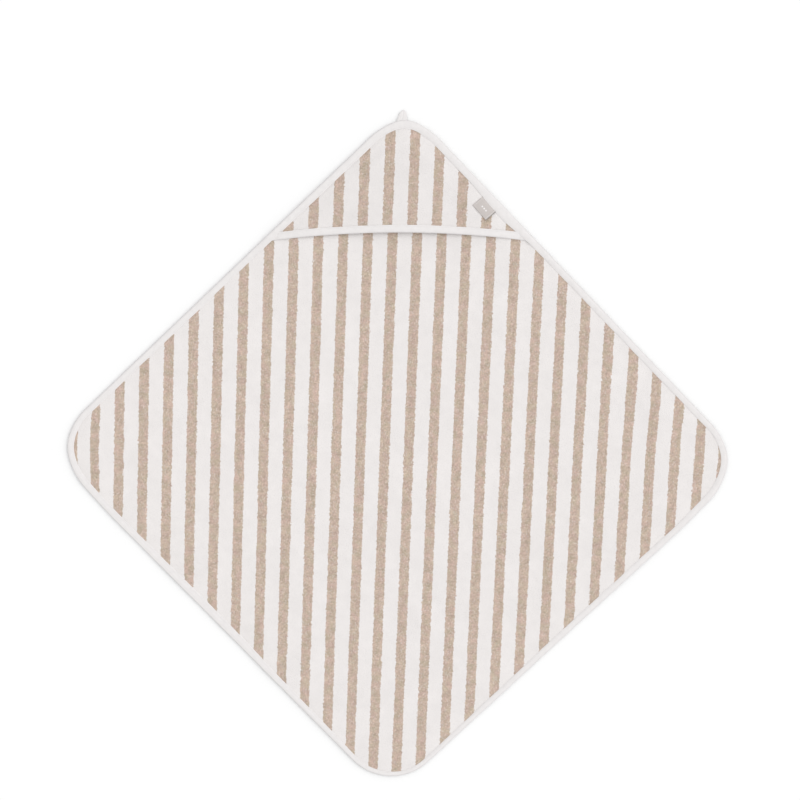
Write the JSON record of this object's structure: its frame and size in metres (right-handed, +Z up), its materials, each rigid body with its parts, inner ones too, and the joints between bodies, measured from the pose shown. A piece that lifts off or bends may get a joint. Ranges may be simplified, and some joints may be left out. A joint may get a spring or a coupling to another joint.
{
  "type": "hooded baby towel",
  "caption": "Square terry towel with rounded corners and taped edges, a triangular hood over one corner, a hanging loop and a small woven label.",
  "frame": {"origin": "centre of the flat square, on its underside", "axes": "+Z up out of the towel's face, +Y from the centre to the hooded corner, +X to the right as seen from above"},
  "size_m": [0.9944, 1.0109, 0.0123],
  "materials": {
    "striped_terry": "white cotton terry pile with woven taupe stripes",
    "binding_tape": "smooth white cotton bias tape",
    "sewing_thread": "white polyester sewing thread",
    "satin_label": "blank white satin",
    "label_weave": "woven grey-beige label",
    "loop_tape": "herringbone cotton tape"
  },
  "bodies": {
    "towel": {"towel_panel": "striped_terry", "perimeter_binding": "binding_tape", "perimeter_stitching": "sewing_thread", "care_label": "satin_label", "care_label_stitching": "sewing_thread"},
    "hood": {"hood_panel": "striped_terry", "hood_binding": "binding_tape", "hood_stitching": "sewing_thread", "woven_label": "label_weave", "label_stitching_upper": "sewing_thread", "label_stitching_lower": "sewing_thread"},
    "loop": {"hanging_loop": "loop_tape"}
  },
  "joints": [
    {"name": "hood_open", "type": "hinge", "parent": "towel", "child": "hood", "pos_m": [0, 0.48469, 0.0033], "axis": [-1, 0, 0], "range_deg": [0, 15]},
    {"name": "loop_swing", "type": "hinge", "parent": "towel", "child": "loop", "pos_m": [-0.004, 0.49869, 0.0024], "axis": [1, 0, 0], "range_deg": [0, 150]}
  ]
}
